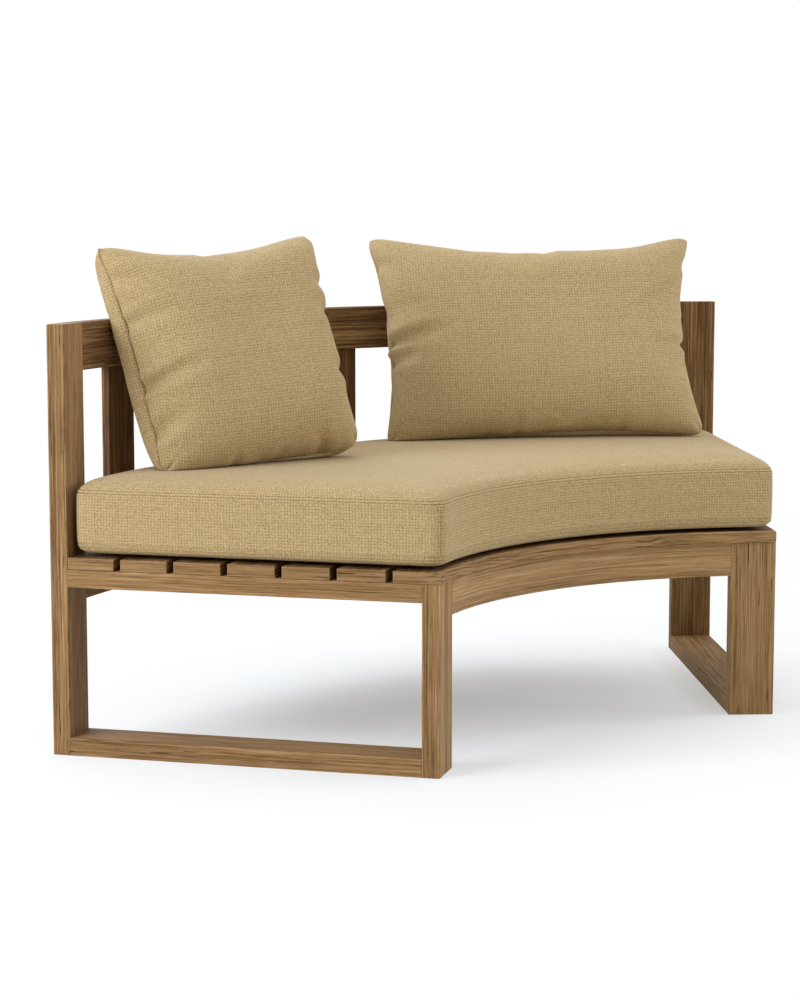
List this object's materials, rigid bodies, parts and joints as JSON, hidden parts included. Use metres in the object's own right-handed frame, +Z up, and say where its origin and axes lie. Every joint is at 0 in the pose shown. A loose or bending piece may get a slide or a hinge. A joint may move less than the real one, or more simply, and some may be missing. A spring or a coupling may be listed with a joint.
{
  "type": "curved garden bench",
  "caption": "Curved teak bench, a segment of a round bench, with slatted seat, low open back, box seat cushion and two loose pillows.",
  "frame": {"origin": "on the floor, under the middle of the bench's overall box; the centre of the full round lies 0.927 m in front of it", "axes": "+Z up, the sitter faces -Y towards the centre of the round, +X to the right as seen from there; the left end is at -X"},
  "size_m": [1.5508, 0.7901, 0.8502],
  "materials": {
    "teak": "weathered brown teak, fine straight grain, oiled matt",
    "woven_fabric": "khaki basket weave, matt",
    "foam": "open-cell cushion foam, matt",
    "pillow_filling": "white fibre filling in a plain liner, matt",
    "screw_steel": "plain stainless steel"
  },
  "bodies": {
    "frame": {"left_front_leg": "teak", "right_front_leg": "teak", "left_back_post": "teak", "right_back_post": "teak", "left_bottom_runner": "teak", "right_bottom_runner": "teak", "left_seat_bearer": "teak", "right_seat_bearer": "teak", "left_inner_bearer": "teak", "right_inner_bearer": "teak", "front_apron": "teak", "back_apron": "teak", "top_rail": "teak", "back_upright_1": "teak", "back_upright_2": "teak", "back_upright_3": "teak", "back_upright_4": "teak", "back_upright_5": "teak", "back_upright_6": "teak", "back_upright_7": "teak", "seat_slat_1": "teak", "seat_slat_2": "teak", "seat_slat_3": "teak", "seat_slat_4": "teak", "seat_slat_5": "teak", "seat_slat_6": "teak", "seat_slat_7": "teak", "slat_screws": "screw_steel"},
    "seat_cushion": {"seat_cushion_cover": "woven_fabric", "seat_cushion_foam": "foam"},
    "square_pillow": {"square_pillow_cover": "woven_fabric", "square_pillow_pad": "pillow_filling"},
    "lumbar_pillow": {"lumbar_pillow_cover": "woven_fabric", "lumbar_pillow_pad": "pillow_filling"}
  },
  "joints": [
    {"name": "seat_cushion_lift", "type": "slide", "parent": "frame", "child": "seat_cushion", "axis": [0, 0, 1], "range_m": [0, 0.25]},
    {"name": "square_pillow_lift", "type": "slide", "parent": "seat_cushion", "child": "square_pillow", "axis": [0, 0, 1], "range_m": [0, 0.25]},
    {"name": "lumbar_pillow_lift", "type": "slide", "parent": "seat_cushion", "child": "lumbar_pillow", "axis": [0, 0, 1], "range_m": [0, 0.25]}
  ]
}
